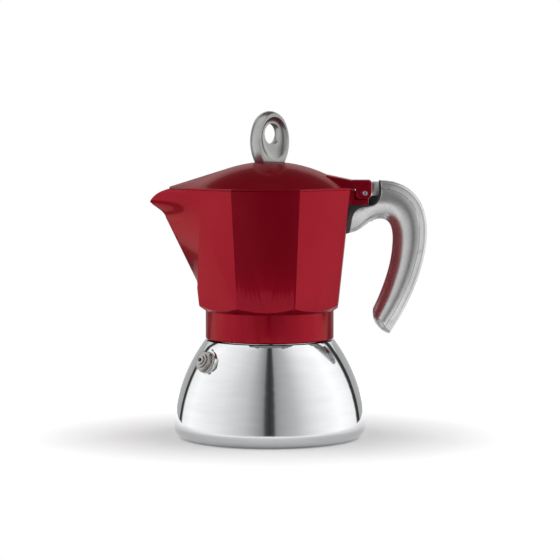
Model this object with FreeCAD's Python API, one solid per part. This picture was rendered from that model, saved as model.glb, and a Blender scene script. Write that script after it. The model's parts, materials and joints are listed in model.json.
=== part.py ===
import FreeCAD, Part
import os
from math import atan2, cos, pi, radians, sin, sqrt, tan

# Stove-top moka pot, in millimetres.
# The origin is the middle of the boiler's flat base, +Z is up, the spout points to -X,
# the handle to +X and the front facet to -Y.

Vec = FreeCAD.Vector

# Boiler
boiler_height = 58.8            # base to the flat shoulder under the collar
belly_radius = 57.7             # outside radius at the belly arc's own centre height
belly_centre_z = 1.1
belly_arc_radius = 97.0
base_fillet = 6.8
inner_fillet = 5.3
boiler_wall = 1.5
base_thickness = 3.0
neck_bore = 31.6
neck_wall = 1.8
neck_height = 13.2

# Screw thread between boiler neck and collar
thread_pitch = 3.0
thread_turns = 3
thread_depth = 0.9
thread_root_width = 2.0
thread_crest_width = 0.8
thread_clearance = 0.2          # radial room between the two crests
thread_start_rise = 1.8         # first turn above the shoulder
thread_embed = 0.4              # depth of the ridge inside its wall

# Safety valve
valve_angle = 50.0              # from the front towards the spout
valve_drop = 11.2               # below the boiler's shoulder
valve_tilt = 22.0               # upwards, from the horizontal
valve_seat_proud = 0.7          # flat seat outside the belly at the valve's axis
valve_pad_radius = 7.4
valve_pad_thickness = 3.2
valve_hex_flats = 11.6
valve_hex_length = 2.8
valve_hex_chamfer = 0.7
valve_collar_radius = 4.4
valve_collar_length = 0.9
valve_nose_radius = 2.9
valve_nose_length = 0.9
valve_shank_radius = 4.0
valve_shank_reach = 9.4         # from the seat into the boiler
valve_shank_clearance = 0.1
valve_washer_thickness = 1.0
valve_washer_radius = 6.6
valve_nut_flats = 12.0
valve_nut_length = 3.6
valve_chamber_radius = 2.5
valve_end_wall = 1.4            # outer end of the chamber, which guides the pin
valve_seat_length = 2.0
valve_orifice_radius = 1.2
plunger_pin_radius = 1.0
plunger_guide_clearance = 0.08
plunger_head_radius = 2.1
plunger_head_length = 1.6
plunger_stands_out = 0.5
spring_wire_radius = 0.28
spring_turns = 4
spring_radial_gap = 0.15        # from the wire to the chamber wall
spring_end_gap = 0.05
relief_travel = 1.5             # way the plunger opens, left free beyond the spring

# Coffee funnel
funnel_clearance = 0.4          # basket in the neck
funnel_flange_thickness = 1.0
funnel_flange_overlap = 1.4     # flange on the neck's rim
basket_wall = 1.0
basket_depth = 21.0
sieve_ledge = 1.7
funnel_cone_height = 6.5
stem_bore = 4.2
stem_wall = 1.0
stem_floor_gap = 6.0
sieve_thickness = 0.8
sieve_clearance = 0.1
sieve_hole_radius = 0.75
sieve_hole_spacing = 4.8

# Seal
gasket_thickness = 3.5
gasket_width = 6.0
gasket_clearance = 0.3
filter_thickness = 0.8
filter_dish_depth = 2.1
filter_clearance = 0.3          # dish inside the gasket
filter_lip = 2.5                # lip over the gasket

# Collector: collar and octagonal chamber
collar_radius = 38.4
collar_gap = 0.7                # above the boiler's shoulder
collar_height = 17.0
collar_bevel = 0.8
under_slope = 34.0              # cone under the octagon, from the horizontal
octagon_low_radius = 44.4       # over the corners, at octagon_low_rise above the collar
octagon_low_rise = 3.0
octagon_rim_radius = 52.4
chamber_height = 72.8           # collar to rim
chamber_wall = 2.6
floor_thickness = 4.2
dome_inset = 0.8                # cone above the filter, inside the seat
dome_rise = 6.4
boss_radius = 20.0
boss_rise = 8.0
boss_land = 3.0

# Spout
spout_foot_drop = 58.7          # below the rim
spout_side_share = 0.668        # where its sides leave the left facets, along the rim
keel_break_reach = 62.3         # end of the straight keel, from the axis
keel_break_drop = 17.5
tip_reach = 72.0
tip_drop = 7.7
flare_middle = (0.36, 0.49)     # a point of the keel's flare, as shares of its run and rise
flare_overrun = 1.2             # beyond the tip, before the lip is cut
spout_rim_reach = 70.0          # where the two sides would meet at rim height
lip_start_reach = 58.0          # where the level rim starts to fall to the tip
keel_inset = 3.0

# Riser column
riser_foot_radius = 7.0
riser_top_radius = 5.4
riser_bore = 3.8
riser_rise = 46.0               # above the collector's floor
riser_cap = 2.2
outlet_radius = 2.3
outlet_drop = 6.0

# Hinge
hinge_reach = 8.8               # pin axis outside the right facet at the rim
hinge_drop = 2.2                # pin axis below the rim
pin_radius = 1.4
pin_clearance = 0.06
pin_end_proud = 0.2
hinge_half_width = 10.0
lug_half_width = 5.0
lug_radius = 3.7
lug_side_clearance = 0.25
bracket_reach = 1.8             # beyond the pin axis
bracket_top_drop = 4.0
bracket_bottom_drop = 6.8
shoulder_drop = 0.1             # below the rim, between the wall and the ears
shoulder_gap = 0.6              # clear of the ears' backs
ear_foot_radius = 3.5
ear_top_rise = 7.5
ear_back = 5.6
ear_front = 3.8
ear_corner = 2.2
slot_back = 8.0                 # root of the slot between the ears
arm_start_back = 23.0           # where the arm leaves the dome
arm_embed = 0.2
arm_level_back = 8.2            # where the arm's top turns level

# Lid
lid_gap = 0.2
dome_radius = 80.0
dome_height = 16.3              # above the rim
lid_wall = 2.2
lid_rim_width = 3.0
cover_ridge_start = 26.0        # where the spout cover's ridge leaves the dome
cover_rim_reach = 63.4          # where its sides would meet at the rim
cover_end_reach = 60.0
lid_flange = 1.0                # flat edge that covers the chamber's corners
knob_seat_radius = 9.6
washer_pad_radius = 7.4

# Knob: an upright oval ring, barrelled outside and dished around its hole
knob_height = 30.7
knob_turn = 33.0                # face turned towards the handle
knob_half_width = 11.5
knob_base_half_width = 8.3
knob_widest = 13.0              # height of the widest place
knob_thickness = 11.4
knob_barrel = 1.3               # how far the faces draw in from the middle
knob_hole = (5.3, 6.3, 17.1)    # half width, half height and height of the middle
knob_dish = (9.0, 12.7, 14.6)
knob_dish_depth = 2.5
knob_bowl = (0.38, 0.7)         # a ring of the dish, as shares of the way in and of the depth
knob_low_side = (0.72, 0.45)    # a side point below the widest place, as shares of widening and height
knob_high_sides = [(0.86, 0.5), (0.5, 0.87)]    # and above it, of width and height
knob_screw_radius = 1.9
knob_screw_clearance = 0.1
knob_screw_depth = 7.0
screw_head_height = 1.9
knob_screw_head_radius = 3.6
knob_washer_radius = 6.4
knob_washer_thickness = 0.9

# Handle: pairs of outer and inner edge points from the pin axis, and half widths there
handle_stations = [
    ((-13.2, 7.4), (-13.2, -26.0), 9.4),
    ((-3.5, 7.4), (-6.2, -23.1), 9.4),
    ((6.3, 7.4), (0.6, -18.9), 9.4),
    ((17.6, 6.2), (7.6, -15.5), 9.3),
    ((27.1, 1.3), (13.4, -16.9), 9.2),
    ((34.0, -8.0), (16.0, -22.4), 9.1),
    ((36.7, -21.0), (16.3, -30.0), 9.0),
    ((35.4, -36.0), (14.9, -41.0), 8.9),
    ((29.4, -56.0), (9.9, -57.6), 8.6),
    ((25.1, -65.7), (6.9, -64.8), 8.4),
    ((20.0, -75.2), (3.2, -72.0), 8.2),
    ((14.4, -84.2), (-0.9, -79.2), 8.0),
    ((8.9, -93.2), (-5.0, -86.4), 7.8),
]
spine_depth = 4.8
spine_corner = 1.8
spine_draft = 1.2               # how much narrower its back is than the seam, to each side
seam_draw = 0.5                 # how far the seam stands in from the widest line
grip_widest_share = 0.25        # of the grip's depth, from the seam to the widest line
seam_gap = 0.2
grip_inner_half_width = 1.8
grip_strip = 2.4                # bevelled strip along the inner edge
grip_side_draw = 5.2            # how far the sides draw in to that strip
tip_top = (4.8, -68.9)          # ends of the rounded tip, from the pin axis
tip_point = (12.9, -83.9)
tip_bulge = 3.0
tip_cross_radius = 10.0
tip_barrel_share = 0.9          # of the tip's arc radius, kept to each side
recess_radius = 8.1             # room for the ears as the lid opens
liner_back = [
    (8.9, 7.9), (9.6, 1.0), (9.0, -2.6), (7.0, -6.0),
    (2.4, -7.9), (-3.8, -9.3), (-6.6, -12.2), (-8.2, -17.8),
]
liner_foot_width = 1.1
liner_wall_gap = 0.15
liner_core_radius = 4.0         # the liner's middle reaches in to the lug
liner_core_span = (-80.0, -5.0) # degrees around the pin
tongue_half_width = 4.4
tongue_front = 4.0              # from the pin axis
tongue_back = 9.9
tongue_top = 6.6
tongue_bottom = -1.6
tang_reach = 8.5
tang_half_width = 4.0
tang_top_drop = 8.8
tang_bottom_drop = 13.2
tang_clearance = 0.15
handle_screw_reach = 2.5
handle_screw_radius = 1.2
handle_screw_clearance = 0.05
handle_screw_head_radius = 1.9
handle_screw_head_clearance = 0.15
handle_screw_head_drop = 15.3   # underside of the screw head, below the pin axis
handle_screw_bite = 3.4         # into the tang

# Heights and radii that follow
octagon_half_angle = radians(22.5)
valve_z = boiler_height - valve_drop
neck_root = neck_bore + neck_wall
male_crest = neck_root + thread_depth
female_crest = male_crest + thread_clearance
female_root = female_crest + thread_depth
neck_top_z = boiler_height + neck_height
flange_top_z = neck_top_z + funnel_flange_thickness
gasket_top_z = flange_top_z + gasket_thickness
seat_z = gasket_top_z + filter_thickness
collar_bottom_z = boiler_height + collar_gap
collar_top_z = collar_bottom_z + collar_height
octagon_low_z = collar_top_z + octagon_low_rise
rim_z = collar_top_z + chamber_height
floor_z = seat_z + floor_thickness
flange_radius = neck_bore + funnel_flange_overlap
basket_outer = neck_bore - funnel_clearance
basket_inner = basket_outer - basket_wall
sieve_top_z = flange_top_z - basket_depth
gasket_inner = flange_radius - gasket_width
filter_dish_radius = gasket_inner - filter_clearance
recess_bore = flange_radius + gasket_clearance
rim_apothem = octagon_rim_radius * cos(octagon_half_angle)
pin_x = rim_apothem + hinge_reach
pin_z = rim_z - hinge_drop
apex_z = rim_z + dome_height
dome_centre_z = apex_z - dome_radius
knob_seat_z = dome_centre_z + sqrt(dome_radius ** 2 - knob_seat_radius ** 2)
far = 4.0 * octagon_rim_radius


# Drawing helpers
def line(a, b):
    return Part.LineSegment(a, b).toShape()


def arc(a, middle, b):
    return Part.Arc(a, middle, b).toShape()


def polygon_face(points):
    return Part.Face(Part.makePolygon(points + points[:1]))


def at_rz(r, z):
    return Vec(r, 0, z)


def turned(face):
    return face.revolve(Vec(0, 0, 0), Vec(0, 0, 1), 360)


def turned_outline(points):
    return turned(polygon_face([at_rz(r, z) for r, z in points]))


def ring(inner, outer, low, high):
    return turned_outline([(inner, low), (outer, low), (outer, high), (inner, high)])


def disc(radius, low, high, x=0.0, y=0.0):
    return Part.makeCylinder(radius, high - low, Vec(x, y, low))


def box(low, high):
    return Part.makeBox(high[0] - low[0], high[1] - low[1], high[2] - low[2], Vec(*low))


def across_y(face, half_width):
    """Extrude a face drawn in the XZ plane to both sides of it."""
    moved = face.translated(Vec(0, -half_width, 0))
    return moved.extrude(Vec(0, 2 * half_width, 0))


def from_pin(dx, dz, y=0.0):
    return Vec(pin_x + dx, y, pin_z + dz)


def hexagon(flats, low, high):
    corner = flats / sqrt(3)
    points = [Vec(corner * cos(k * pi / 3), corner * sin(k * pi / 3), low) for k in range(6)]
    return polygon_face(points).extrude(Vec(0, 0, high - low))


def hole_rings(radius_limit, hole_radius, spacing):
    """Centres of holes on rings around the axis, evenly spaced."""
    centres = []
    ring_radius = spacing
    while ring_radius + hole_radius < radius_limit:
        count = int(2 * pi * ring_radius / spacing)
        for k in range(count):
            angle = 2 * pi * k / count
            centres.append((ring_radius * cos(angle), ring_radius * sin(angle)))
        ring_radius += spacing
    return centres


def helical_ridge(radius, outwards, start_z):
    """A screw-thread ridge on a cylinder, pointing out of it or into it."""
    side = 1 if outwards else -1
    root = radius - side * thread_embed
    crest = radius + side * thread_depth
    half_root = thread_root_width / 2
    half_crest = thread_crest_width / 2
    section = Part.makePolygon([
        at_rz(root, start_z - half_root),
        at_rz(crest, start_z - half_crest),
        at_rz(crest, start_z + half_crest),
        at_rz(root, start_z + half_root),
        at_rz(root, start_z - half_root),
    ])
    path = Part.makeHelix(thread_pitch, thread_pitch * thread_turns, radius)
    path.translate(Vec(0, 0, start_z))
    return Part.Wire(path.Edges).makePipeShell([section], True, True)


# Boiler
def belly_r(z, inset=0.0):
    centre_r = belly_radius - belly_arc_radius
    return centre_r + sqrt((belly_arc_radius - inset) ** 2 - (z - belly_centre_z) ** 2)


def belly_edges(inset, floor, fillet, top):
    """Floor line, rounded corner and belly arc of one side of the shell, from the axis up."""
    centre = at_rz(belly_radius - belly_arc_radius, belly_centre_z)
    radius = belly_arc_radius - inset
    corner_z = floor + fillet
    corner_r = centre.x + sqrt((radius - fillet) ** 2 - (corner_z - centre.z) ** 2)
    corner = at_rz(corner_r, corner_z)
    outwards = (corner - centre).normalize()
    tangent = centre + outwards * radius
    low = at_rz(corner_r, floor)
    halfway = corner + (outwards + Vec(0, 0, -1)).normalize() * fillet
    top_point = at_rz(belly_r(top, inset), top)
    middle_z = (tangent.z + top) / 2
    return [
        line(at_rz(0, floor), low),
        arc(low, halfway, tangent),
        arc(tangent, at_rz(belly_r(middle_z, inset), middle_z), top_point),
    ], top_point


def valve_frame():
    """Placement whose +Z is the valve's axis, out of the boiler, from the middle of its seat."""
    angle = radians(valve_angle)
    tilt = radians(valve_tilt)
    level = Vec(-sin(angle), -cos(angle), 0)
    axis = level * cos(tilt) + Vec(0, 0, sin(tilt))
    seat = level * belly_r(valve_z) + Vec(0, 0, valve_z) + axis * valve_seat_proud
    return FreeCAD.Placement(seat, FreeCAD.Rotation(Vec(0, 0, 1), axis))


def on_valve(shape):
    placed = shape.copy()
    placed.Placement = valve_frame().multiply(placed.Placement)
    return placed


def boiler_shell():
    outer, outer_top = belly_edges(0, 0, base_fillet, boiler_height)
    under_shoulder = boiler_height - boiler_wall
    inner, inner_top = belly_edges(boiler_wall, base_thickness, inner_fillet, under_shoulder)
    neck = [
        outer_top,
        at_rz(neck_root, boiler_height),
        at_rz(neck_root, neck_top_z),
        at_rz(neck_bore, neck_top_z),
        at_rz(neck_bore, under_shoulder),
        inner_top,
    ]
    edges = outer + [line(a, b) for a, b in zip(neck, neck[1:])] + inner
    edges.append(line(at_rz(0, base_thickness), at_rz(0, 0)))
    shell = turned(Part.Face(Part.Wire(Part.__sortEdges__(edges))))
    pad = disc(valve_pad_radius, -valve_pad_thickness, 0)
    above_pad = disc(valve_pad_radius, 0, valve_pad_radius)
    bore = disc(valve_shank_radius + valve_shank_clearance, -valve_shank_reach, valve_pad_radius)
    shell = shell.fuse(on_valve(pad)).cut(on_valve(above_pad)).cut(on_valve(bore))
    ridge = helical_ridge(neck_root, True, boiler_height + thread_start_rise)
    return shell.fuse(ridge).removeSplitter()


# Safety valve, along its own axis
valve_hex_low = valve_washer_thickness
valve_hex_high = valve_hex_low + valve_hex_length
valve_collar_high = valve_hex_high + valve_collar_length
valve_outer_end = valve_collar_high + valve_nose_length
chamber_end = valve_outer_end - valve_end_wall
valve_inner_end = -valve_shank_reach
plunger_head_low = valve_inner_end + valve_seat_length
plunger_head_high = plunger_head_low + plunger_head_length


def valve_body():
    body = hexagon(valve_hex_flats, valve_hex_low, valve_hex_high)
    corner = valve_hex_flats / sqrt(3)
    rounding = turned_outline([
        (0, valve_hex_low),
        (corner, valve_hex_low),
        (corner, valve_hex_high - valve_hex_chamfer),
        (corner - 2 * valve_hex_chamfer, valve_hex_high),
        (0, valve_hex_high),
    ])
    body = body.common(rounding)
    for radius, low, high in (
        (valve_collar_radius, valve_hex_high, valve_collar_high),
        (valve_nose_radius, valve_collar_high, valve_outer_end),
        (valve_shank_radius, valve_inner_end, valve_hex_low),
    ):
        body = body.fuse(disc(radius, low, high))
    guide = plunger_pin_radius + plunger_guide_clearance
    body = body.cut(disc(valve_chamber_radius, valve_inner_end, chamber_end))
    body = body.cut(disc(guide, chamber_end, valve_outer_end))
    return on_valve(body.removeSplitter())


def valve_washer():
    return on_valve(ring(valve_shank_radius, valve_washer_radius, 0, valve_washer_thickness))


def valve_nut():
    high = -valve_pad_thickness
    low = high - valve_nut_length
    nut = hexagon(valve_nut_flats, low, high)
    return on_valve(nut.cut(disc(valve_shank_radius, low, high)))


def valve_seat():
    high = valve_inner_end + valve_seat_length
    return on_valve(ring(valve_orifice_radius, valve_chamber_radius, valve_inner_end, high))


def valve_plunger():
    head = disc(plunger_head_radius, plunger_head_low, plunger_head_high)
    pin_end = valve_outer_end + plunger_stands_out
    pin = disc(plunger_pin_radius, plunger_head_high, pin_end)
    return on_valve(head.fuse(pin).removeSplitter())


def valve_spring():
    """A coil around the plunger's pin, resting on its head, swept along arcs of half a turn."""
    radius = valve_chamber_radius - spring_radial_gap - spring_wire_radius
    low = plunger_head_high + spring_wire_radius + spring_end_gap
    high = chamber_end - relief_travel - spring_wire_radius - spring_end_gap

    def point(quarter):
        angle = quarter * pi / 2
        rise = (high - low) * quarter / (4 * spring_turns)
        return Vec(radius * cos(angle), radius * sin(angle), low + rise)

    halves = range(0, 4 * spring_turns, 2)
    path = Part.Wire([arc(point(k), point(k + 1), point(k + 2)) for k in halves])
    start = path.Edges[0]
    direction = start.tangentAt(start.FirstParameter)
    section = Part.Wire(Part.makeCircle(spring_wire_radius, point(0), direction))
    return on_valve(path.makePipeShell([section], True, False))


# Coffee funnel
def funnel_body():
    ledge_z = sieve_top_z - sieve_thickness
    cone_low_z = ledge_z - funnel_cone_height
    ledge_r = basket_inner - sieve_ledge
    stem_end_z = base_thickness + stem_floor_gap
    stem_outer = stem_bore + stem_wall
    return turned_outline([
        (flange_radius, neck_top_z),
        (flange_radius, flange_top_z),
        (basket_inner, flange_top_z),
        (basket_inner, ledge_z),
        (ledge_r, ledge_z),
        (ledge_r, ledge_z - basket_wall),
        (stem_bore, cone_low_z),
        (stem_bore, stem_end_z),
        (stem_outer, stem_end_z),
        (stem_outer, cone_low_z - basket_wall),
        (basket_outer, ledge_z - 2 * basket_wall),
        (basket_outer, neck_top_z),
    ])


def perforated(plate, centres, hole_radius, low, high):
    holes = [disc(hole_radius, low, high, x, y) for x, y in centres]
    return plate.cut(Part.makeCompound(holes))


def funnel_sieve():
    low = sieve_top_z - sieve_thickness
    plate = disc(basket_inner - sieve_clearance, low, sieve_top_z)
    limit = basket_inner - sieve_ledge
    centres = hole_rings(limit, sieve_hole_radius, sieve_hole_spacing)
    return perforated(plate, centres, sieve_hole_radius, low, sieve_top_z)


# Seal between boiler and collector
def gasket():
    return ring(gasket_inner, flange_radius, flange_top_z, gasket_top_z)


def filter_plate():
    dish_z = gasket_top_z - filter_dish_depth
    wall_inner = filter_dish_radius - filter_thickness
    plate = turned_outline([
        (0, dish_z),
        (filter_dish_radius, dish_z),
        (filter_dish_radius, gasket_top_z),
        (gasket_inner + filter_lip, gasket_top_z),
        (gasket_inner + filter_lip, seat_z),
        (wall_inner, seat_z),
        (wall_inner, dish_z + filter_thickness),
        (0, dish_z + filter_thickness),
    ])
    centres = hole_rings(wall_inner, sieve_hole_radius, sieve_hole_spacing)
    return perforated(plate, centres, sieve_hole_radius, dish_z, dish_z + filter_thickness)


# Collector
def octagon_radius(z):
    taper = (octagon_rim_radius - octagon_low_radius) / (rim_z - octagon_low_z)
    return octagon_rim_radius + (z - rim_z) * taper


def octagon_corner(k, z, inset=0.0):
    """Corner k, counter-clockwise from the handle's right back facet."""
    radius = octagon_radius(z) - inset / cos(octagon_half_angle)
    angle = octagon_half_angle + k * pi / 4
    return Vec(radius * cos(angle), radius * sin(angle), z)


def mirrored(point):
    return Vec(point.x, -point.y, point.z)


def spout_edge(z, inset):
    """Where the spout's front side leaves the left front facet, at height z."""
    foot_z = rim_z - spout_foot_drop
    low = octagon_corner(4, foot_z, inset)
    front = octagon_corner(5, rim_z, inset)
    left = octagon_corner(4, rim_z, inset)
    high = front + (left - front) * spout_side_share
    return low + (high - low) * ((z - foot_z) / spout_foot_drop)


def keel_flare(inset, high_z):
    """Curve of the keel from the end of its straight run over the tip to the top."""
    start = Vec(-keel_break_reach, 0, rim_z - keel_break_drop)
    tip = Vec(-tip_reach, 0, rim_z - tip_drop)
    way = tip - start
    run_share, rise_share = flare_middle
    points = [
        start,
        start + Vec(run_share * way.x, 0, rise_share * way.z),
        tip,
        tip + Vec(-flare_overrun, 0, 2 * flare_overrun),
        Vec(-spout_rim_reach, 0, high_z),
    ]
    moved = [p + Vec(inset, 0, 0) for p in points]
    curve = Part.BSplineCurve()
    curve.interpolate(moved)
    return curve.toShape()


def chamber(inset, low_z, high_z):
    """The octagonal chamber with its spout as a solid, drawn in by inset."""
    foot_z = rim_z - spout_foot_drop
    break_z = rim_z - keel_break_drop
    keel_shift = inset * keel_inset / chamber_wall

    def corner(k, z):
        return octagon_corner(k, z, inset)

    keel_foot = (corner(3, foot_z) + corner(4, foot_z)) * 0.5
    keel_break = Vec(-keel_break_reach + keel_shift, 0, break_z)
    flare = keel_flare(keel_shift, high_z)
    keel_top = flare.valueAt(flare.LastParameter)
    keel = line(keel_foot, keel_break)

    edge_low = corner(4, foot_z)
    edge_break = spout_edge(break_z, inset)
    edge_high = spout_edge(high_z, inset)

    faces = []
    for k in (5, 6, 7, 0, 1):
        after = (k + 1) % 8
        faces.append(polygon_face([
            corner(k, low_z), corner(after, low_z), corner(after, high_z), corner(k, high_z)]))
    front_side = [corner(5, low_z), corner(5, high_z), edge_high, edge_break, edge_low,
                  corner(4, low_z)]
    faces.append(polygon_face(front_side))
    faces.append(polygon_face([mirrored(p) for p in front_side]))
    faces.append(polygon_face([
        corner(4, low_z), edge_low, keel_foot, corner(3, foot_z), corner(3, low_z)]))
    for place in (lambda p: p, mirrored):
        lower = line(place(edge_low), place(edge_break))
        upper = line(place(edge_break), place(edge_high))
        faces.append(Part.makeRuledSurface(lower, keel))
        faces.append(Part.makeRuledSurface(upper, flare))
    faces.append(polygon_face([corner(k, low_z) for k in range(8)]))
    top = [corner(5, high_z), corner(6, high_z), corner(7, high_z), corner(0, high_z),
           corner(1, high_z), corner(2, high_z), mirrored(edge_high), keel_top, edge_high]
    faces.append(polygon_face(top))
    solid = Part.Solid(Part.makeShell(faces))
    if solid.Volume < 0:
        solid.reverse()
    return solid


def lip_cut():
    """What is taken off above the lip, from the level rim down to the tip."""
    start = Vec(-lip_start_reach, 0, rim_z)
    tip = Vec(-tip_reach, 0, rim_z - tip_drop)
    run = tip_reach - lip_start_reach
    radius = (run ** 2 + tip_drop ** 2) / (2 * tip_drop)
    half_turn = atan2(tip_drop, run)
    middle = Vec(-lip_start_reach - radius * sin(half_turn), 0, rim_z - radius * (1 - cos(half_turn)))
    above = rim_z + dome_height
    outline = Part.Wire([
        arc(start, middle, tip),
        line(tip, Vec(-far, 0, tip.z)),
        line(Vec(-far, 0, tip.z), Vec(-far, 0, above)),
        line(Vec(-far, 0, above), Vec(-lip_start_reach, 0, above)),
        line(Vec(-lip_start_reach, 0, above), start),
    ])
    return across_y(Part.Face(outline), octagon_rim_radius)


def wall_x(z):
    """Outside of the right facet at height z, in the handle's plane."""
    return octagon_radius(z) * cos(octagon_half_angle)


def hinge_bracket():
    inside = wall_x(pin_z - tang_bottom_drop) - chamber_wall / 2
    low = pin_z - bracket_bottom_drop
    bracket = box((inside, -hinge_half_width, low),
                  (pin_x + bracket_reach, hinge_half_width, pin_z - bracket_top_drop))
    web = box((inside, -lug_half_width, low), (pin_x, lug_half_width, pin_z + lug_radius / 3))
    foot = box((pin_x, -lug_half_width, low), (pin_x + bracket_reach, lug_half_width, pin_z))
    knuckle = Part.makeCylinder(lug_radius, 2 * lug_half_width,
                                Vec(pin_x, -lug_half_width, pin_z), Vec(0, 1, 0))
    shoulder = box((inside, -hinge_half_width, low),
                   (pin_x - ear_back - shoulder_gap, hinge_half_width, rim_z - shoulder_drop))
    return bracket.fuse([web, foot, knuckle, shoulder, handle_tang(0.0)])


def handle_tang(clearance):
    inside = wall_x(pin_z - tang_bottom_drop) - chamber_wall / 2
    half = tang_half_width + clearance
    return box((inside, -half, pin_z - tang_bottom_drop - clearance),
               (pin_x + tang_reach + clearance, half, pin_z - tang_top_drop + clearance))


def pin_hole(radius):
    half = 2 * hinge_half_width
    return Part.makeCylinder(radius, 2 * half, Vec(pin_x, -half, pin_z), Vec(0, 1, 0))


def handle_screw_hole(radius):
    low = pin_z - handle_screw_head_drop
    high = pin_z - tang_bottom_drop + handle_screw_bite
    return disc(radius, low, high, pin_x + handle_screw_reach)


def collector_body():
    slope = tan(radians(under_slope))
    cone_reach = far - collar_radius
    under_cone = turned_outline([
        (0, collar_top_z),
        (collar_radius, collar_top_z),
        (far, collar_top_z + cone_reach * slope),
        (far, far),
        (0, far),
    ])
    body = chamber(0.0, collar_bottom_z, rim_z).common(under_cone)
    collar = turned_outline([
        (0, collar_bottom_z),
        (collar_radius - collar_bevel, collar_bottom_z),
        (collar_radius, collar_bottom_z + collar_bevel),
        (collar_radius, collar_top_z + octagon_low_rise),
        (0, collar_top_z + octagon_low_rise),
    ])
    body = body.fuse(collar).cut(lip_cut())
    body = body.fuse(hinge_bracket())
    body = body.cut(chamber(chamber_wall, floor_z, rim_z + chamber_wall))
    boss_top = floor_z + boss_rise
    boss_top_r = riser_foot_radius + boss_land
    body = body.fuse(turned_outline([
        (0, seat_z),
        (boss_radius, seat_z),
        (boss_radius, floor_z),
        (boss_top_r, boss_top),
        (0, boss_top),
    ]))
    dome_r = gasket_inner - dome_inset
    body = body.cut(turned_outline([
        (0, collar_bottom_z - collar_gap),
        (female_root, collar_bottom_z - collar_gap),
        (female_root, flange_top_z + gasket_clearance),
        (recess_bore, flange_top_z + gasket_clearance),
        (recess_bore, seat_z),
        (dome_r, seat_z),
        (riser_foot_radius, seat_z + dome_rise),
        (riser_foot_radius, boss_top + boss_rise),
        (0, boss_top + boss_rise),
    ]))
    ridge = helical_ridge(female_root, False, boiler_height + thread_start_rise + thread_pitch / 2)
    body = body.fuse(ridge)
    return body.cut(pin_hole(pin_radius)).cut(handle_screw_hole(handle_screw_radius))


def riser_column():
    low = seat_z + dome_rise
    land = floor_z + boss_rise
    high = floor_z + riser_rise
    cap_z = high - riser_cap
    column = turned_outline([
        (riser_bore, low),
        (riser_foot_radius, low),
        (riser_foot_radius, land),
        (riser_top_radius, cap_z),
        (riser_top_radius - riser_cap / 2, high),
        (0, high),
        (0, cap_z),
        (riser_bore, cap_z),
    ])
    outlet = Part.makeCylinder(outlet_radius, 2 * riser_foot_radius,
                               Vec(0, -riser_foot_radius, high - outlet_drop - riser_cap), Vec(0, 1, 0))
    return column.cut(outlet)


# Lid
def dome_z(r):
    return dome_centre_z + sqrt(dome_radius ** 2 - r ** 2)


def octagon_prism(inset, low, high):
    corners = [octagon_corner(k, rim_z, inset) for k in range(8)]
    face = polygon_face([Vec(p.x, p.y, low) for p in corners])
    return face.extrude(Vec(0, 0, high - low))


def spout_cover(drop, inset):
    """Ridged roof over the spout, lowered by drop and drawn in by inset."""
    low = rim_z + lid_gap - drop
    ridge_z = dome_z(cover_ridge_start) - drop
    edge = spout_edge(rim_z, 0.0)
    end_run = cover_rim_reach - cover_end_reach
    end_z = low + (ridge_z - low) * end_run / (cover_rim_reach - cover_ridge_start)
    end_y = -edge.y * end_run / (cover_rim_reach + edge.x)
    back_x = -cover_ridge_start
    end_x = -cover_end_reach
    ridge = [Vec(back_x, 0, ridge_z), Vec(end_x, 0, end_z)]
    near = [Vec(back_x, edge.y, low), Vec(edge.x, edge.y, low), Vec(end_x, -end_y, low)]
    away = [mirrored(p) for p in near]
    faces = [
        polygon_face(near + away[::-1]),
        polygon_face([near[0], ridge[0], away[0]]),
        polygon_face([near[2], ridge[1], away[2]]),
    ]
    for side in (near, away):
        faces.append(polygon_face([ridge[0], side[1], side[2], ridge[1]]))
        faces.append(polygon_face([ridge[0], side[0], side[1]]))
    solid = Part.Solid(Part.makeShell(faces))
    if solid.Volume < 0:
        solid.reverse()
    plan_near = [
        near[0] + Vec(0, inset, 0),
        near[1] + Vec(inset, inset, 0),
        near[2] + Vec(inset, inset / 2, 0),
    ]
    plan = polygon_face(plan_near + [mirrored(p) for p in plan_near[::-1]])
    return solid.common(plan.extrude(Vec(0, 0, dome_height)))


def lid_arm():
    """The arm from the dome to the two ears, drawn from the side."""
    low = lid_gap + hinge_drop
    foot = ear_foot_radius
    diagonal = foot / sqrt(2)
    corner_mid = ear_corner * (1 - 1 / sqrt(2))
    points = {
        "root_low": from_pin(-arm_start_back - slot_back, low),
        "root_high": Vec(pin_x - arm_start_back, 0, dome_z(pin_x - arm_start_back) - arm_embed),
        "level": from_pin(-arm_level_back, ear_top_rise),
        "corner_start": from_pin(ear_front - ear_corner, ear_top_rise),
        "corner_middle": from_pin(ear_front - corner_mid, ear_top_rise - corner_mid),
        "corner_end": from_pin(ear_front, ear_top_rise - ear_corner),
        "front_low": from_pin(ear_front, 0),
        "foot": from_pin(0, -foot),
        "foot_back": from_pin(-ear_back + foot / 2, -foot),
        "back_low": from_pin(-ear_back, -foot / 2),
        "back_high": from_pin(-ear_back, low),
    }
    front_middle = from_pin(diagonal * ear_front / foot, -diagonal)
    outline = [
        line(points["root_low"], points["root_high"]),
        line(points["root_high"], points["level"]),
        line(points["level"], points["corner_start"]),
        arc(points["corner_start"], points["corner_middle"], points["corner_end"]),
        line(points["corner_end"], points["front_low"]),
        arc(points["front_low"], front_middle, points["foot"]),
        line(points["foot"], points["foot_back"]),
        line(points["foot_back"], points["back_low"]),
        line(points["back_low"], points["back_high"]),
        line(points["back_high"], points["root_low"]),
    ]
    arm = across_y(Part.Face(Part.Wire(outline)), hinge_half_width)
    slot_half = lug_half_width + lug_side_clearance
    slot = box((pin_x - slot_back, -slot_half, pin_z - far), (pin_x + far, slot_half, pin_z + far))
    return arm.cut(slot)


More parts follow.
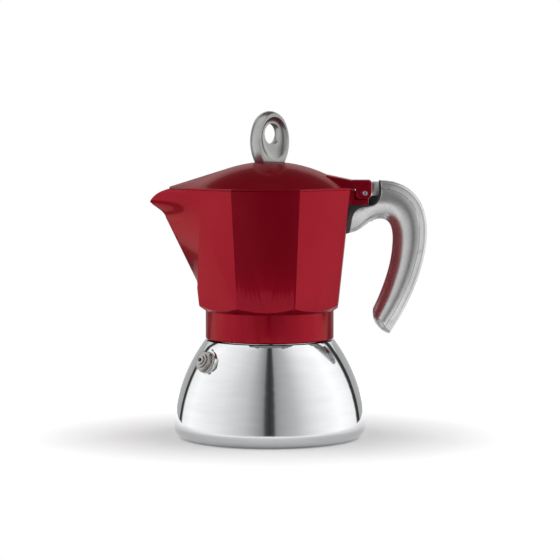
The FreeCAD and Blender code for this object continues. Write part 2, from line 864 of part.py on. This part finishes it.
def lid_shell():
    low = rim_z + lid_gap
    dome = Part.makeSphere(dome_radius, Vec(0, 0, dome_centre_z))
    shell = dome.common(octagon_prism(0.0, low, apex_z)).fuse(octagon_prism(0.0, low, low + lid_flange))
    shell = shell.fuse(spout_cover(0.0, 0.0)).fuse(lid_arm())
    hollow = Part.makeSphere(dome_radius - lid_wall, Vec(0, 0, dome_centre_z))
    hollow = hollow.common(octagon_prism(lid_rim_width, low - lid_wall, apex_z))
    hollow = hollow.fuse(spout_cover(lid_wall, lid_rim_width))
    pad_z = knob_seat_z - lid_wall
    hollow = hollow.cut(disc(washer_pad_radius, pad_z, apex_z))
    shell = shell.cut(hollow)
    shell = shell.cut(disc(knob_seat_radius, knob_seat_z, apex_z + lid_wall))
    shell = shell.cut(disc(knob_screw_radius + knob_screw_clearance, pad_z - lid_wall, apex_z))
    shell = shell.cut(pin_hole(pin_radius + pin_clearance))
    return shell.removeSplitter()


def hinge_pin():
    half = hinge_half_width + pin_end_proud
    return Part.makeCylinder(pin_radius, 2 * half, Vec(pin_x, -half, pin_z), Vec(0, 1, 0))


# Knob
def on_lid(shape):
    """From the knob's own frame, face towards -Y, to its place on the lid."""
    placed = shape.copy()
    placed.rotate(Vec(0, 0, 0), Vec(0, 0, 1), knob_turn)
    placed.translate(Vec(0, 0, knob_seat_z))
    return placed


def oval(half_width, half_height, middle_z, y):
    centre = Vec(0, y, middle_z)
    curve = Part.Ellipse(centre + Vec(0, 0, half_height), centre + Vec(half_width, 0, 0), centre)
    return Part.Wire(curve.toShape())


def knob_outline(inset, y):
    top_rise = knob_height - inset - knob_widest
    widest = knob_half_width - inset
    base = knob_base_half_width - inset
    widening, low_rise = knob_low_side
    side = [
        (base, 0.0),
        (base + widening * (widest - base), low_rise * knob_widest),
        (widest, knob_widest),
    ]
    side += [(u * widest, knob_widest + v * top_rise) for u, v in knob_high_sides]
    side.append((0.0, knob_widest + top_rise))
    right = [Vec(u, y, z) for u, z in side]
    left = [Vec(-u, y, z) for u, z in reversed(side[:-1])]
    curve = Part.BSplineCurve()
    curve.interpolate(right + left)
    return Part.Wire([curve.toShape(), line(left[-1], right[0])])


def between(a, b, share):
    return [u + (v - u) * share for u, v in zip(a, b)]


def lid_knob():
    half = knob_thickness / 2
    knob = Part.makeLoft([
        knob_outline(knob_barrel, -half), knob_outline(0.0, 0.0), knob_outline(knob_barrel, half)], True)
    bowl_share, bowl_depth = knob_bowl
    bowl = between(knob_dish, knob_hole, bowl_share)
    for side_sign in (-1, 1):
        dish = Part.makeLoft([
            oval(*knob_dish, side_sign * half),
            oval(*bowl, side_sign * (half - bowl_depth * knob_dish_depth)),
            oval(*knob_hole, side_sign * (half - knob_dish_depth)),
        ], True)
        knob = knob.cut(dish)
    hole = Part.Face(oval(*knob_hole, -half))
    knob = knob.cut(hole.extrude(Vec(0, knob_thickness, 0)))
    knob = knob.cut(disc(knob_screw_radius, 0, knob_screw_depth))
    return on_lid(knob)


def knob_washer():
    high = knob_seat_z - lid_wall
    inner = knob_screw_radius + knob_screw_clearance
    return ring(inner, knob_washer_radius, high - knob_washer_thickness, high)


def knob_screw():
    head_z = knob_seat_z - lid_wall - knob_washer_thickness
    head = disc(knob_screw_head_radius, head_z - screw_head_height, head_z)
    shank = disc(knob_screw_radius, head_z, knob_seat_z + knob_screw_depth)
    return head.fuse(shank).removeSplitter()


# Handle
def section_frame(outer, inner):
    """Outer edge point and unit direction towards the inner edge of one station."""
    start = from_pin(*outer)
    across = from_pin(*inner) - start
    return start, across.normalize(), (from_pin(*inner) - start).Length


def handle_section(outer, inner, half_width):
    """Outline of the whole handle at one station: rounded back, convex sides, bevelled inner edge."""
    start, inwards, depth = section_frame(outer, inner)

    def point(d, y):
        return start + inwards * d + Vec(0, y, 0)

    mid = spine_corner * (1 - 1 / sqrt(2))
    strip = depth - grip_strip
    widest = spine_depth + (strip - spine_depth) * grip_widest_share
    seam_y = half_width - seam_draw
    back_y = seam_y - spine_draft
    flat = back_y - spine_corner

    def side(s):
        back = point(0, s * flat)
        shoulder = point(spine_corner, s * back_y)
        seam = point(spine_depth, s * seam_y)
        strip_edge = point(strip, s * (half_width - grip_side_draw))
        edge = point(depth, s * grip_inner_half_width)
        return [
            arc(back, point(mid, s * (back_y - mid)), shoulder),
            line(shoulder, seam),
            arc(seam, point(widest, s * half_width), strip_edge),
            line(strip_edge, edge),
        ]

    edges = side(1) + side(-1)
    edges.append(line(point(0, -flat), point(0, flat)))
    edges.append(line(point(depth, -grip_inner_half_width), point(depth, grip_inner_half_width)))
    return Part.Wire(Part.__sortEdges__(edges))


def outside_seam(depth):
    """Everything on the outer side of a seam that runs at one depth along the handle."""
    seam = []
    outside = []
    for outer, inner, _ in handle_stations:
        start, inwards, _ = section_frame(outer, inner)
        seam.append(start + inwards * depth)
        outside.append(start - inwards * (2 * spine_depth))
    curve = Part.BSplineCurve()
    curve.interpolate(seam)
    border = [seam[-1]] + outside[::-1] + [seam[0]]
    edges = [curve.toShape()] + [line(a, b) for a, b in zip(border, border[1:])]
    return across_y(Part.Face(Part.Wire(edges)), 2 * hinge_half_width)


def handle_end():
    """What the handle keeps at its tip: a barrel-rounded end and all that lies above it."""
    top = from_pin(*tip_top)
    point = from_pin(*tip_point)
    chord = point - top
    along = Vec(chord).normalize()
    inwards = Vec(-along.z, 0, along.x)
    middle = (top + point) * 0.5 - inwards * tip_bulge
    half = chord.Length / 2
    radius = (half ** 2 + tip_bulge ** 2) / (2 * tip_bulge)
    centre = middle + inwards * radius
    reach = radius * tip_barrel_share
    sag = radius - sqrt(radius ** 2 - reach ** 2)
    axis_point = middle + inwards * tip_cross_radius
    ends = [middle + inwards * sag + along * (s * reach) for s in (-1, 1)]
    feet = [axis_point + along * (s * reach) for s in (-1, 1)]
    outline = Part.Wire([
        arc(ends[0], middle, ends[1]),
        line(ends[1], feet[1]),
        line(feet[1], feet[0]),
        line(feet[0], ends[0]),
    ])
    barrel = Part.Face(outline).revolve(axis_point, along, 360)
    corner = axis_point - along * far
    beyond = [corner, corner + along * (2 * far), corner + along * (2 * far) + inwards * (2 * far),
              corner + inwards * (2 * far)]
    above = [top - inwards * far, top + inwards * far, top + inwards * far - along * (2 * far),
             top - inwards * far - along * (2 * far)]
    return barrel.multiFuse([across_y(polygon_face(border), far) for border in (beyond, above)])


def liner_curve():
    curve = Part.BSplineCurve()
    foot_z = pin_z + handle_stations[0][1][1]
    foot = Vec(wall_x(foot_z) + liner_foot_width, 0, foot_z)
    points = [from_pin(dx, dz) for dx, dz in liner_back] + [foot]
    curve.interpolate(points)
    return curve.toShape(), points[0], foot


def front_region(front_edges, top_point, foot_point):
    """Everything on the pot's side of a front line, as a thick plate."""
    above = Vec(top_point.x, 0, pin_z + far)
    below = Vec(foot_point.x, 0, pin_z - far)
    left_low = Vec(-far, 0, pin_z - far)
    left_high = Vec(-far, 0, pin_z + far)
    outline = front_edges + [
        line(foot_point, below),
        line(below, left_low),
        line(left_low, left_high),
        line(left_high, above),
        line(above, top_point),
    ]
    return across_y(Part.Face(Part.Wire(Part.__sortEdges__(outline))), 2 * hinge_half_width)


def behind_liner():
    curve, top, foot = liner_curve()
    return front_region([curve], top, foot)


def hinge_room():
    """The pot, its bracket and the sweep of the ears, which the liner stays clear of."""
    under = pin_z - bracket_bottom_drop
    swing = -atan2(bracket_bottom_drop, bracket_reach + recess_radius / 2)
    end = from_pin(recess_radius * cos(swing), recess_radius * sin(swing))
    middle = from_pin(recess_radius * cos(swing / 2), recess_radius * sin(swing / 2))
    top = from_pin(recess_radius, 0)
    above = from_pin(recess_radius, ear_top_rise)
    step = Vec(end.x, 0, under)
    wall_high = Vec(wall_x(under) + liner_wall_gap, 0, under)
    low_z = pin_z + handle_stations[0][1][1] - far / 4
    wall_low = Vec(wall_x(low_z) + liner_wall_gap, 0, low_z)
    edges = [
        line(above, top),
        arc(top, middle, end),
        line(end, step),
        line(step, wall_high),
        line(wall_high, wall_low),
    ]
    return front_region(edges, above, wall_low)


def liner_core():
    """The liner's middle between the ears, filled in towards the lug."""
    inner = liner_core_radius
    outer = (recess_radius + liner_back[2][0]) / 2
    start, end = [radians(angle) for angle in liner_core_span]

    def polar(radius, angle):
        return from_pin(radius * cos(angle), radius * sin(angle))

    middle = (start + end) / 2
    outline = Part.Wire([
        arc(polar(inner, start), polar(inner, middle), polar(inner, end)),
        line(polar(inner, end), polar(outer, end)),
        arc(polar(outer, end), polar(outer, middle), polar(outer, start)),
        line(polar(outer, start), polar(inner, start)),
    ])
    core = across_y(Part.Face(outline), tongue_half_width)
    beside = pin_x + bracket_reach + liner_wall_gap
    below = pin_z - bracket_bottom_drop
    return core.common(box((beside, -tongue_half_width, below), (pin_x + far, tongue_half_width, pin_z)))


def handle_form():
    sections = [handle_section(*station) for station in handle_stations]
    return Part.makeLoft(sections, True).common(handle_end())


def tongue(clearance):
    half = tongue_half_width + clearance
    return box((pin_x + tongue_front - clearance, -half, pin_z + tongue_bottom - clearance),
               (pin_x + tongue_back, half, pin_z + tongue_top))


def handle_pieces():
    """Grip, spine and liner, cut from one hooked form."""
    form = handle_form()
    behind = behind_liner()
    socket = handle_tang(tang_clearance)
    head_high = pin_z - handle_screw_head_drop
    head_room = disc(handle_screw_head_radius + handle_screw_head_clearance, head_high - far / 4, head_high,
                     pin_x + handle_screw_reach)
    screw_room = handle_screw_hole(handle_screw_radius + handle_screw_clearance)
    tongue_room = tongue(seam_gap)
    body = form.cut(behind)
    grip = body.cut(outside_seam(spine_depth + seam_gap / 2))
    for room in (socket, head_room, screw_room, tongue_room):
        grip = grip.cut(room)
    spine = body.common(outside_seam(spine_depth - seam_gap / 2)).fuse(tongue(0.0)).removeSplitter()
    liner = form.common(behind).cut(hinge_room()).fuse(liner_core()).cut(socket).cut(tongue_room)
    return grip, spine, liner


def handle_screw():
    head_high = pin_z - handle_screw_head_drop
    head = disc(handle_screw_head_radius, head_high - screw_head_height, head_high,
                pin_x + handle_screw_reach)
    return head.fuse(handle_screw_hole(handle_screw_radius)).removeSplitter()


def build():
    grip, spine, liner = handle_pieces()
    nodes = {
        "boiler_shell": boiler_shell(),
        "valve_body": valve_body(),
        "valve_washer": valve_washer(),
        "valve_nut": valve_nut(),
        "valve_seat": valve_seat(),
        "valve_plunger": valve_plunger(),
        "valve_spring": valve_spring(),
        "funnel_body": funnel_body(),
        "funnel_sieve": funnel_sieve(),
        "gasket": gasket(),
        "filter_plate": filter_plate(),
        "collector_body": collector_body(),
        "riser_column": riser_column(),
        "lid_shell": lid_shell(),
        "lid_knob": lid_knob(),
        "knob_screw": knob_screw(),
        "knob_washer": knob_washer(),
        "hinge_pin": hinge_pin(),
        "handle_grip": grip,
        "handle_spine": spine,
        "handle_liner": liner,
        "handle_screw": handle_screw(),
    }
    os.makedirs("parts", exist_ok=True)
    for name, shape in nodes.items():
        shape.exportStep(os.path.join("parts", name + ".step"))
        print(name, "solids", len(shape.Solids), "volume", round(shape.Volume, 1), "valid", shape.isValid())


build()
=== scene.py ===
import json
from math import cos, pi, radians, sin

import bpy
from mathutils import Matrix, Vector

# Moka pot on a white table: the solids carry the shapes, this script gives them
# rounded edges, finishes, studio light and the photograph's view.

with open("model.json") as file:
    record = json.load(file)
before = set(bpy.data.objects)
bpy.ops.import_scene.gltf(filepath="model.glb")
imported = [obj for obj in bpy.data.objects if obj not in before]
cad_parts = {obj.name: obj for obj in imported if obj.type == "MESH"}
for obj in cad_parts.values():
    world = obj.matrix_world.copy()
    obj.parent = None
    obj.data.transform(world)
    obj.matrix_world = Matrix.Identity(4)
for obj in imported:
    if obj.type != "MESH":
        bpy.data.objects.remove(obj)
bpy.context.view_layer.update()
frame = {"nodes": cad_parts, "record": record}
nodes = frame["nodes"]

# View, in metres
view_azimuth = 2.7              # degrees to the right of the front facet
camera_height = 0.200
camera_distance = 1.42
aim = Vector((0.0062, 0.0, 0.0946))
picture_width = 0.336           # what the frame spans at the pot's axis
sensor_width = 36.0             # in millimetres

# Finishes, as linear colours
red = (0.285, 0.0040, 0.0150, 1.0)
red_deep = (0.270, 0.0036, 0.0140, 1.0)
red_edge = (0.50, 0.03, 0.07, 1.0)
steel = (0.63, 0.64, 0.65, 1.0)
steel_dull = (0.60, 0.61, 0.62, 1.0)
silver = (0.58, 0.58, 0.58, 1.0)
silver_dark = (0.54, 0.54, 0.54, 1.0)
satin = (0.33, 0.328, 0.325, 1.0)
satin_dark = (0.28, 0.278, 0.275, 1.0)
black = (0.012, 0.012, 0.013, 1.0)
black_worn = (0.022, 0.022, 0.023, 1.0)
raw_metal = (0.62, 0.62, 0.63, 1.0)
raw_metal_dark = (0.48, 0.48, 0.50, 1.0)
nickel = (0.30, 0.29, 0.28, 1.0)
nickel_dark = (0.24, 0.23, 0.22, 1.0)
rubber = (0.60, 0.58, 0.53, 1.0)
rubber_dark = (0.50, 0.48, 0.44, 1.0)

# Grain of every finish
grain_detail = 4.0
cloud_detail = 2.0
cloud_size = 25                 # a cloud of colour, in grains of relief
first_colour_until = 0.35       # of the cloud's value, with a blend between the two
second_colour_from = 0.65
grain_height = 0.0001           # in metres, before each finish's own share


def new_node(tree, kind, **inputs):
    """A shader node with some of its inputs set, written with _ for the spaces in their names."""
    node = tree.nodes.new(kind)
    for name, value in inputs.items():
        node.inputs[name.replace("_", " ")].default_value = value
    return node


def combine(tree, operation, first, second):
    """What a Math node makes of two other outputs."""
    node = tree.nodes.new("ShaderNodeMath")
    node.operation = operation
    tree.links.new(first, node.inputs[0])
    tree.links.new(second, node.inputs[1])
    return node.outputs[0]


def grey(value):
    return (value, value, value, 1.0)


materials = {}


def add_finish(name, colours, roughness, spread, grain, bump, stretch=(1, 1, 1), **sockets):
    """A surface whose colour, roughness and relief vary with a fine procedural grain."""
    material = bpy.data.materials.new(name)
    material.use_nodes = True
    tree = material.node_tree
    shader = tree.nodes["Principled BSDF"]
    for socket, value in sockets.items():
        shader.inputs[socket.replace("_", " ")].default_value = value
    place = tree.nodes.new("ShaderNodeTexCoord")
    mapping = new_node(tree, "ShaderNodeMapping", Scale=stretch)
    noise = new_node(tree, "ShaderNodeTexNoise", Scale=grain, Detail=grain_detail)
    cloud = new_node(tree, "ShaderNodeTexNoise", Scale=grain / cloud_size, Detail=cloud_detail)
    ramp = tree.nodes.new("ShaderNodeValToRGB")
    stops = ramp.color_ramp.elements
    for stop, colour, position in zip(stops, colours, (first_colour_until, second_colour_from)):
        stop.color = colour
        stop.position = position
    rough = new_node(tree, "ShaderNodeMapRange", To_Min=roughness - spread, To_Max=roughness + spread)
    relief = new_node(tree, "ShaderNodeBump", Strength=bump, Distance=grain_height)
    tree.links.new(place.outputs["Object"], mapping.inputs["Vector"])
    tree.links.new(mapping.outputs["Vector"], noise.inputs["Vector"])
    tree.links.new(mapping.outputs["Vector"], cloud.inputs["Vector"])
    tree.links.new(cloud.outputs["Fac"], ramp.inputs["Fac"])
    tree.links.new(ramp.outputs["Color"], shader.inputs["Base Color"])
    tree.links.new(noise.outputs["Fac"], rough.inputs["Value"])
    tree.links.new(rough.outputs["Result"], shader.inputs["Roughness"])
    tree.links.new(noise.outputs["Fac"], relief.inputs["Height"])
    tree.links.new(relief.outputs["Normal"], shader.inputs["Normal"])
    materials[name] = material


add_finish("red_lacquer", (red_deep, red), roughness=0.28, spread=0.02, grain=1800, bump=0.01,
           Metallic=0.55, Specular_IOR_Level=0.10, Specular_Tint=red_edge,
           Coat_Weight=0.14, Coat_Roughness=0.06)
add_finish("polished_steel", (steel_dull, steel), roughness=0.06, spread=0.01, grain=900, bump=0.001,
           stretch=(1, 1, 6), Metallic=1.0)
add_finish("grey_plastic", (silver_dark, silver), roughness=0.28, spread=0.03, grain=3000, bump=0.04,
           Metallic=0.9)
add_finish("grey_satin", (satin_dark, satin), roughness=0.28, spread=0.03, grain=3000, bump=0.04,
           Metallic=0.9)
add_finish("black_plastic", (black, black_worn), roughness=0.42, spread=0.06, grain=2500, bump=0.08)
add_finish("bare_aluminium", (raw_metal_dark, raw_metal), roughness=0.38, spread=0.08, grain=1500,
           bump=0.08, Metallic=1.0)
add_finish("nickel_brass", (nickel_dark, nickel), roughness=0.20, spread=0.05, grain=1600, bump=0.03,
           Metallic=1.0)
add_finish("spring_steel", (raw_metal_dark, raw_metal), roughness=0.24, spread=0.06, grain=2000,
           bump=0.03, Metallic=1.0)
add_finish("seal_rubber", (rubber_dark, rubber), roughness=0.6, spread=0.08, grain=1800, bump=0.10)

# Nodes with a finish other than their slot's: the knob a darker satin grey, the valve's plunger black
own_finish = {"lid_knob": "grey_satin", "valve_plunger": "black_plastic"}

for part in frame["record"]["subparts"]:
    node = nodes[part["node"]]
    finish = own_finish.get(part["node"], part["material_slot"])
    node.data.materials.clear()
    node.data.materials.append(materials[finish])

# Rounded edges: (width of the rounding in metres, least angle in degrees that counts as an edge)
edge_rounding = {
    "collector_body": (0.0006, 18),
    "lid_shell": (0.0006, 18),
    "boiler_shell": (0.0003, 40),
    "valve_body": (0.0002, 25),
    "handle_grip": (0.0004, 18),
    "handle_spine": (0.0004, 30),
    "handle_liner": (0.0002, 40),
    "lid_knob": (0.0004, 25),
    "hinge_pin": (0.0002, 40),
}
rounding_steps = 3
same_point = 0.000002           # corners closer than this are one


def round_edges(name, width, angle):
    node = nodes[name]
    node.data.polygons.foreach_set("use_smooth", [True] * len(node.data.polygons))
    weld = node.modifiers.new("weld", "WELD")
    weld.merge_threshold = same_point
    bevel = node.modifiers.new("rounded edges", "BEVEL")
    bevel.width = width
    bevel.segments = rounding_steps
    bevel.limit_method = "ANGLE"
    bevel.angle_limit = radians(angle)
    bevel.harden_normals = True
    bevel.use_clamp_overlap = True


for name, (width, angle) in edge_rounding.items():
    round_edges(name, width, angle)


# Studio: a round white table inside a drum of soft light that the camera doesn't see
wall_radius = 2.6
wall_low = -1.2
wall_high = 6.0
wall_sides = 72
ceiling_light = 0.25
ground_light = 0.22
panel_radius = 2.4
panel_spread = 40               # degrees to each side of straight behind
panel_step = 5
panel_low = -0.30
panel_middle = 0.75
panel_high = 1.60
low_panel_light = 0.55
high_panel_light = 0.9
floor_radius = 0.24
floor_sides = 96
floor_grey = 0.92
floor_roughness = 0.9
# The floor's glow is dimmest near the pot and rises outwards: a painted shadow round the pot's foot,
# on top of the shadow it casts.
painted_shadow_glow = 0.08                # of the floor, seen by the camera and in reflections
glow_far = 0.60
painted_shadow_core = 0.066              # from the pot's axis, in metres
painted_shadow_reach = 0.190

# Brightness of the wall, by degrees to the right of the camera: (angle, grey)
wall_light = [
    (-180, 0.12), (-141, 0.12), (-139, 0.05), (-133, 0.05), (-130, 1.30), (-110, 1.50), (-94, 1.40),
    (-63, 1.18), (-30, 0.82), (-14, 0.50), (-8, 0.36), (-5, 0.10), (0, 0.05), (5, 0.09), (8, 0.42),
    (13, 0.52), (31, 0.73), (50, 1.10), (64, 1.30), (95, 1.60), (115, 1.45), (128, 1.30), (131, 0.05),
    (139, 0.05), (141, 0.12), (180, 0.12),
]


def seen_directly(tree):
    """1 for the rays of the camera, of reflections and through glass, and 0 for the others."""
    paths = tree.nodes.new("ShaderNodeLightPath")
    total = paths.outputs["Is Camera Ray"]
    for name in ("Is Glossy Ray", "Is Transmission Ray"):
        total = combine(tree, "MAXIMUM", total, paths.outputs[name])
    return total


def circle(radius, z, sides):
    turns = [2 * pi * k / sides for k in range(sides)]
    return [(radius * cos(t), radius * sin(t), z) for t in turns]


def staged(name, points, faces, material):
    mesh = bpy.data.meshes.new(name)
    mesh.from_pydata(points, [], faces)
    mesh.materials.append(material)
    item = bpy.data.objects.new(name, mesh)
    bpy.context.scene.collection.objects.link(item)
    return item


def make_floor():
    """A white table whose own glow fades towards the pot: a painted shadow round its foot, on top of
    the shadow it casts.
    """
    material = bpy.data.materials.new("floor")
    material.use_nodes = True
    tree = material.node_tree
    shader = tree.nodes["Principled BSDF"]
    shader.inputs["Base Color"].default_value = grey(floor_grey)
    shader.inputs["Roughness"].default_value = floor_roughness
    shader.inputs["Specular IOR Level"].default_value = 0.0
    shader.inputs["Emission Color"].default_value = grey(1)
    place = tree.nodes.new("ShaderNodeTexCoord")
    reach = tree.nodes.new("ShaderNodeVectorMath")
    reach.operation = "LENGTH"
    # Glow dimmer towards the pot's axis: painted shadow.
    painted_shadow_fade = new_node(tree, "ShaderNodeMapRange", From_Min=painted_shadow_core, From_Max=painted_shadow_reach,
                    To_Min=painted_shadow_glow, To_Max=glow_far)
    glow = combine(tree, "MULTIPLY", seen_directly(tree), painted_shadow_fade.outputs["Result"])
    tree.links.new(place.outputs["Object"], reach.inputs[0])
    tree.links.new(reach.outputs["Value"], painted_shadow_fade.inputs["Value"])
    tree.links.new(glow, shader.inputs["Emission Strength"])
    staged("floor", circle(floor_radius, 0, floor_sides), [range(floor_sides)], material)


def light_material(name):
    """A material that only shines, and its Emission node."""
    material = bpy.data.materials.new(name)
    material.use_nodes = True
    tree = material.node_tree
    tree.nodes.clear()
    light = tree.nodes.new("ShaderNodeEmission")
    output = tree.nodes.new("ShaderNodeOutputMaterial")
    tree.links.new(light.outputs["Emission"], output.inputs["Surface"])
    return material, light


def make_wall():
    """The drum's side, whose brightness follows wall_light around the pot."""
    material, light = light_material("wall")
    tree = material.node_tree
    place = tree.nodes.new("ShaderNodeTexCoord")
    split = tree.nodes.new("ShaderNodeSeparateXYZ")
    to_front = tree.nodes.new("ShaderNodeMath")
    to_front.operation = "MULTIPLY"
    to_front.inputs[1].default_value = -1.0
    angle = combine(tree, "ARCTAN2", split.outputs["X"], to_front.outputs[0])
    share = new_node(tree, "ShaderNodeMapRange", From_Min=-pi, From_Max=pi)
    ramp = tree.nodes.new("ShaderNodeValToRGB")
    stops = ramp.color_ramp.elements
    while len(stops) > 1:
        stops.remove(stops[-1])
    for k, (degrees, brightness) in enumerate(wall_light):
        position = (degrees + 180) / 360
        stop = stops[0] if k == 0 else stops.new(position)
        stop.position = position
        stop.color = grey(brightness)
    tree.links.new(place.outputs["Object"], split.inputs["Vector"])
    tree.links.new(split.outputs["Y"], to_front.inputs[0])
    tree.links.new(angle, share.inputs["Value"])
    tree.links.new(share.outputs["Result"], ramp.inputs["Fac"])
    tree.links.new(ramp.outputs["Color"], light.inputs["Color"])
    points = circle(wall_radius, wall_low, wall_sides) + circle(wall_radius, wall_high, wall_sides)
    faces = []
    for k in range(wall_sides):
        after = (k + 1) % wall_sides
        faces.append((k, after, after + wall_sides, k + wall_sides))
    wall = staged("wall", points, faces, material)
    wall.rotation_euler.z = radians(view_azimuth)
    wall.visible_camera = False


def even_light(name, brightness):
    material, light = light_material(name)
    light.inputs["Color"].default_value = grey(brightness)
    return material


def make_end(name, z, brightness):
    """The drum's ceiling or ground, evenly lit."""
    material = even_light(name, brightness)
    end = staged(name, circle(wall_radius, z, wall_sides), [range(wall_sides)], material)
    end.visible_camera = False


def make_panel(name, low, high, brightness):
    """A light panel behind the pot, between two heights."""
    first = 180 - panel_spread
    last = 180 + panel_spread
    turns = [radians(view_azimuth + a) for a in range(first, last + 1, panel_step)]
    points = [(panel_radius * sin(t), -panel_radius * cos(t), z) for z in (low, high) for t in turns]
    count = len(turns)
    faces = [(k, k + 1, k + 1 + count, k + count) for k in range(count - 1)]
    panel = staged(name, points, faces, even_light(name, brightness))
    panel.visible_camera = False


def make_world():
    world = bpy.data.worlds.new("studio")
    bpy.context.scene.world = world
    world.use_nodes = True
    backdrop = world.node_tree.nodes["Background"]
    backdrop.inputs["Color"].default_value = grey(1)
    backdrop.inputs["Strength"].default_value = 1.0


def make_camera():
    data = bpy.data.cameras.new("camera")
    camera = bpy.data.objects.new("camera", data)
    bpy.context.scene.collection.objects.link(camera)
    turn = radians(view_azimuth)
    away = Vector((sin(turn), -cos(turn), 0))
    camera.location = away * camera_distance + Vector((aim.x, 0, camera_height))
    camera.rotation_euler = (aim - camera.location).to_track_quat("-Z", "Y").to_euler()
    data.sensor_width = sensor_width
    data.lens = sensor_width * (aim - camera.location).length / picture_width
    bpy.context.scene.camera = camera


make_floor()
make_wall()
make_panel("low panel", panel_low, panel_middle, low_panel_light)
make_panel("high panel", panel_middle, panel_high, high_panel_light)
make_end("ceiling", wall_high, ceiling_light)
make_end("ground", wall_low, ground_light)
make_world()
make_camera()
bpy.context.scene.view_settings.view_transform = "Standard"
